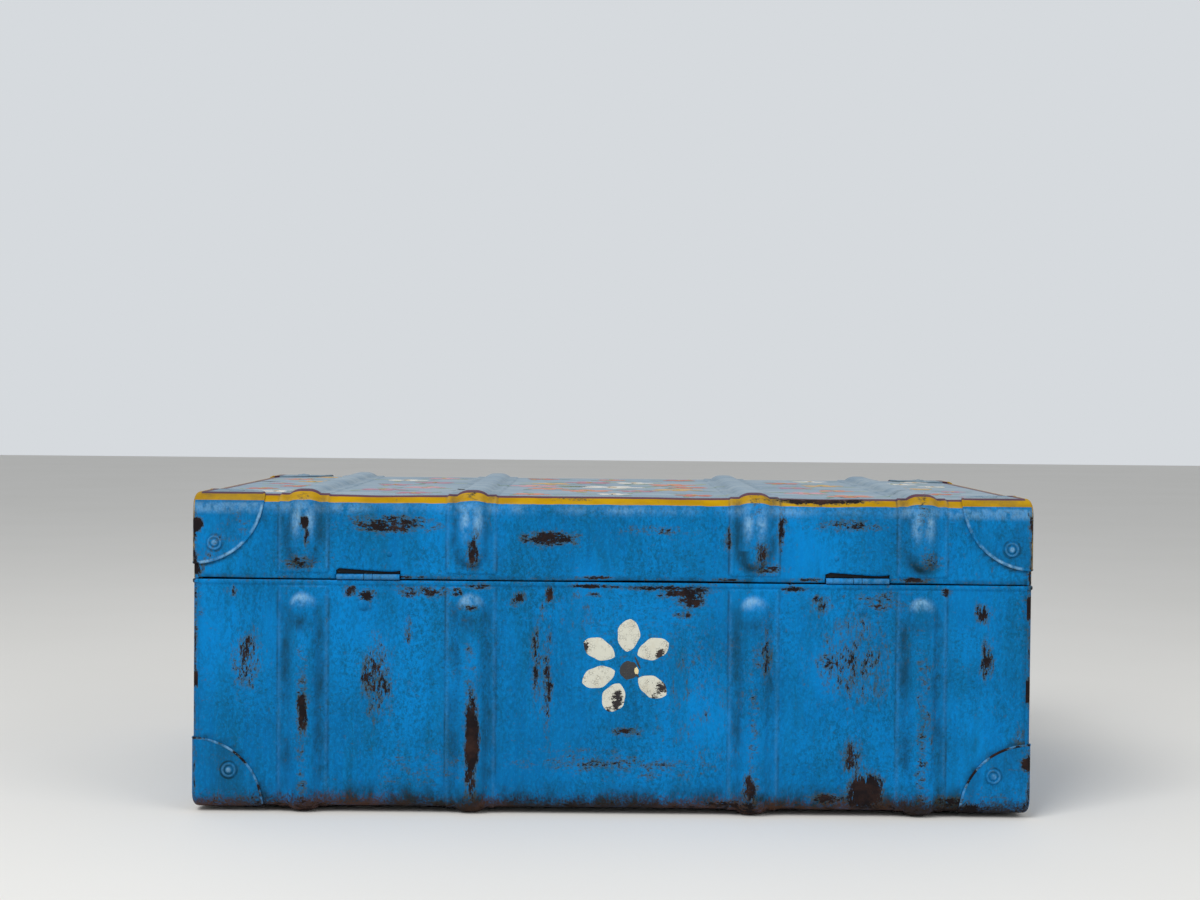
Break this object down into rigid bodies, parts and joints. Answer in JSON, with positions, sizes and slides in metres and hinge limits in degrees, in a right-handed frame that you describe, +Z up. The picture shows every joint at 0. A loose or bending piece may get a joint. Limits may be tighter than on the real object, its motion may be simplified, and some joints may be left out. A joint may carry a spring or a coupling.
{
  "type": "tin trunk",
  "caption": "Small flat tin trunk with a hinged lid, pressed ribs round body and lid, riveted corner caps, toggle latches and drop handles on the ends.",
  "frame": {"origin": "on the floor below the middle of the trunk's footprint", "axes": "+X along the trunk to the right end as seen from the hinge side, +Y from the hinge side to the latch side, +Z up"},
  "size_m": [0.6222, 0.379, 0.233],
  "materials": {
    "body_enamel": "worn blue gloss enamel over dark brown primer",
    "lid_enamel": "worn blue gloss enamel with a yellow line and a painted top",
    "cap_enamel": "worn blue gloss enamel on pressed sheet",
    "hinge_steel": "steel with rubbed blue paint",
    "latch_steel": "dull zinc-plated steel",
    "handle_steel": "dark lacquered steel wire"
  },
  "bodies": {
    "trunk": {"body_wrap": "body_enamel", "body_end_left": "body_enamel", "body_end_right": "body_enamel", "rim_band": "body_enamel", "body_cap_hinge_left": "cap_enamel", "body_cap_hinge_right": "cap_enamel", "body_cap_latch_left": "cap_enamel", "body_cap_latch_right": "cap_enamel", "body_cap_rivets": "cap_enamel", "hinge_left_body_leaf": "hinge_steel", "hinge_left_pin": "hinge_steel", "hinge_right_body_leaf": "hinge_steel", "hinge_right_pin": "hinge_steel", "hinge_body_rivets": "hinge_steel", "latch_left_base": "latch_steel", "latch_left_pin": "latch_steel", "latch_right_base": "latch_steel", "latch_right_pin": "latch_steel", "latch_base_rivets": "latch_steel", "handle_left_plate": "handle_steel", "handle_right_plate": "handle_steel", "handle_rivets": "handle_steel"},
    "lid": {"lid_wrap": "lid_enamel", "lid_end_left": "lid_enamel", "lid_end_right": "lid_enamel", "lid_cap_hinge_left": "cap_enamel", "lid_cap_hinge_right": "cap_enamel", "lid_cap_latch_left": "cap_enamel", "lid_cap_latch_right": "cap_enamel", "lid_cap_rivets": "cap_enamel", "hinge_left_lid_leaf": "hinge_steel", "hinge_right_lid_leaf": "hinge_steel", "hinge_lid_rivets": "hinge_steel", "latch_left_catch": "latch_steel", "latch_right_catch": "latch_steel", "latch_catch_rivets": "latch_steel"},
    "left_latch_lever": {"latch_left_lever": "latch_steel"},
    "left_latch_loop": {"latch_left_loop": "latch_steel"},
    "left_handle": {"handle_left_bail": "handle_steel"},
    "right_latch_lever": {"latch_right_lever": "latch_steel"},
    "right_latch_loop": {"latch_right_loop": "latch_steel"},
    "right_handle": {"handle_right_bail": "handle_steel"}
  },
  "joints": [
    {"name": "lid_hinge", "type": "hinge", "parent": "trunk", "child": "lid", "pos_m": [0, -0.1831, 0.1704], "axis": [1, 0, 0], "range_deg": [0, 150]},
    {"name": "left_latch_lever_pivot", "type": "hinge", "parent": "trunk", "child": "left_latch_lever", "pos_m": [-0.175, 0.188, 0.148], "axis": [1, 0, 0], "range_deg": [0, 100]},
    {"name": "left_latch_loop_pivot", "type": "hinge", "parent": "left_latch_lever", "child": "left_latch_loop", "pos_m": [-0.175, 0.1895, 0.139], "axis": [1, 0, 0], "range_deg": [0, 85]},
    {"name": "left_handle_pivot", "type": "hinge", "parent": "trunk", "child": "left_handle", "pos_m": [-0.306, 0, 0.114], "axis": [0, 1, 0], "range_deg": [0, 110]},
    {"name": "right_latch_lever_pivot", "type": "hinge", "parent": "trunk", "child": "right_latch_lever", "pos_m": [0.175, 0.188, 0.148], "axis": [1, 0, 0], "range_deg": [0, 100]},
    {"name": "right_latch_loop_pivot", "type": "hinge", "parent": "right_latch_lever", "child": "right_latch_loop", "pos_m": [0.175, 0.1895, 0.139], "axis": [1, 0, 0], "range_deg": [0, 85]},
    {"name": "right_handle_pivot", "type": "hinge", "parent": "trunk", "child": "right_handle", "pos_m": [0.306, 0, 0.114], "axis": [0, -1, 0], "range_deg": [0, 110]}
  ]
}
